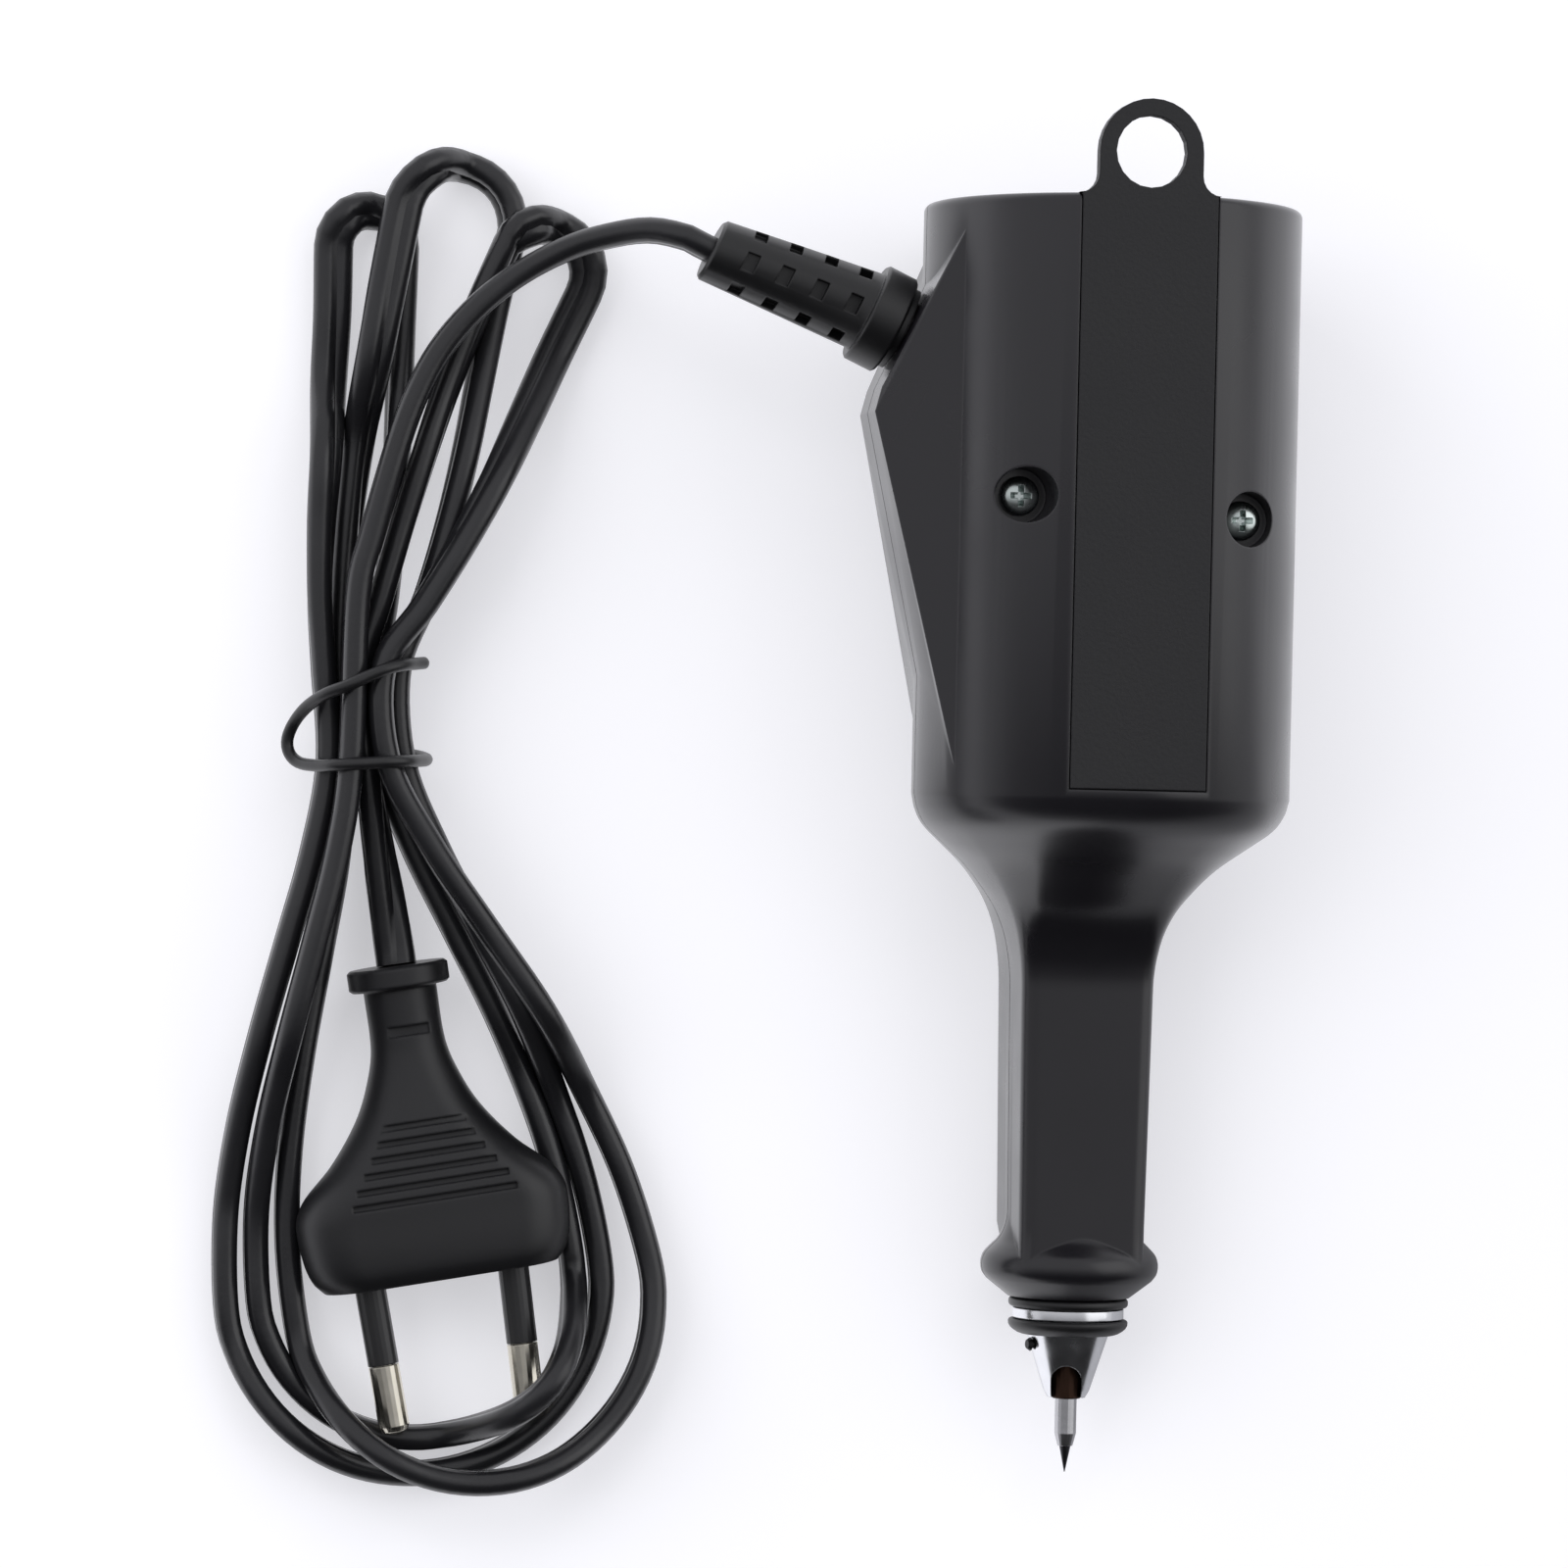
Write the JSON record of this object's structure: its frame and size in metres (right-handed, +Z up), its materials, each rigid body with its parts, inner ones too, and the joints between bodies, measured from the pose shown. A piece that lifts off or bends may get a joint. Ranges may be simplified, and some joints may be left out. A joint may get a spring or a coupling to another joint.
{
  "type": "electric engraving pen",
  "caption": "Electric engraving pen: barrel housing with hanging ring, slim neck and chromed needle nose, on a mains lead tied in a hank with a moulded plug.",
  "frame": {"origin": "under the middle of the pen's box, on the surface that it lies on, without the lead and what is on it", "axes": "+Y along the pen from its needle to its hanging ring, +Z up out of the label strip"},
  "size_m": [0.136, 0.1779, 0.0482],
  "materials": {
    "housing": "moulded black ABS, finely sparked",
    "strip": "grained black strip, bare",
    "rubber": "black moulded rubber",
    "zinc": "zinc-plated screw",
    "black_steel": "black oxide",
    "chrome": "polished chrome plate",
    "steel": "ground steel",
    "carbide": "ground tungsten carbide",
    "bronze": "oiled sintered bronze",
    "brass": "stamped brass",
    "lamination": "stacked iron sheets",
    "nylon": "natural nylon",
    "winding": "enamelled copper wire",
    "wire_cover": "PVC wire insulation",
    "cord": "black PVC flat twin cord",
    "tie": "black covered wire",
    "plug": "moulded black PVC",
    "sleeve": "black insulating sleeve",
    "nickel": "nickel-plated brass"
  },
  "bodies": {
    "housing": {"coil_bobbin": "nylon", "coil_terminal_left": "brass", "coil_terminal_right": "brass", "coil_winding": "winding", "cord_hank": "cord", "cord_lead": "cord", "cord_tail": "cord", "core_stack": "lamination", "front_shell": "housing", "hanger_strip": "strip", "housing_screw_left": "zinc", "housing_screw_right": "zinc", "o_ring_upper": "rubber", "plug_body": "plug", "plug_pin_left": "nickel", "plug_pin_right": "nickel", "plug_sleeve_left": "sleeve", "plug_sleeve_right": "sleeve", "rear_shell": "housing", "retaining_band": "chrome", "return_spring": "steel", "rod_guide": "nylon", "stop_pad": "rubber", "strain_relief": "rubber", "twist_tie": "tie", "wire_left": "wire_cover", "wire_right": "wire_cover"},
    "striker": {"armature": "lamination", "armature_nut": "steel", "drive_rod": "steel", "spring_seat": "steel", "stylus_set_screw": "black_steel", "stylus_shank": "steel", "carbide_point": "carbide"},
    "cone_carrier": {"o_ring_lower": "rubber"},
    "cone": {"nose_cone": "chrome", "guide_bush": "bronze", "cone_lock_screw": "black_steel"}
  },
  "joints": [
    {"name": "striker_stroke", "type": "slide", "parent": "housing", "child": "striker", "axis": [0, 1, 0], "range_m": [0, 0.0012], "stiffness_N_per_m": 1500, "springref_m": -0.0015, "deforming": ["return_spring"]},
    {"name": "cone_travel", "type": "slide", "parent": "housing", "child": "cone_carrier", "axis": [0, -1, 0], "range_m": [0, 0.00375]},
    {"name": "cone_turn", "type": "hinge", "parent": "cone_carrier", "child": "cone", "pos_m": [0.00355, -0.0753, 0.0115], "axis": [0, -1, 0], "range_deg": [0, 1801]}
  ],
  "couplings": [
    {"joint": "cone_turn", "follows": "cone_travel", "rad_per_m": 8377.6}
  ]
}
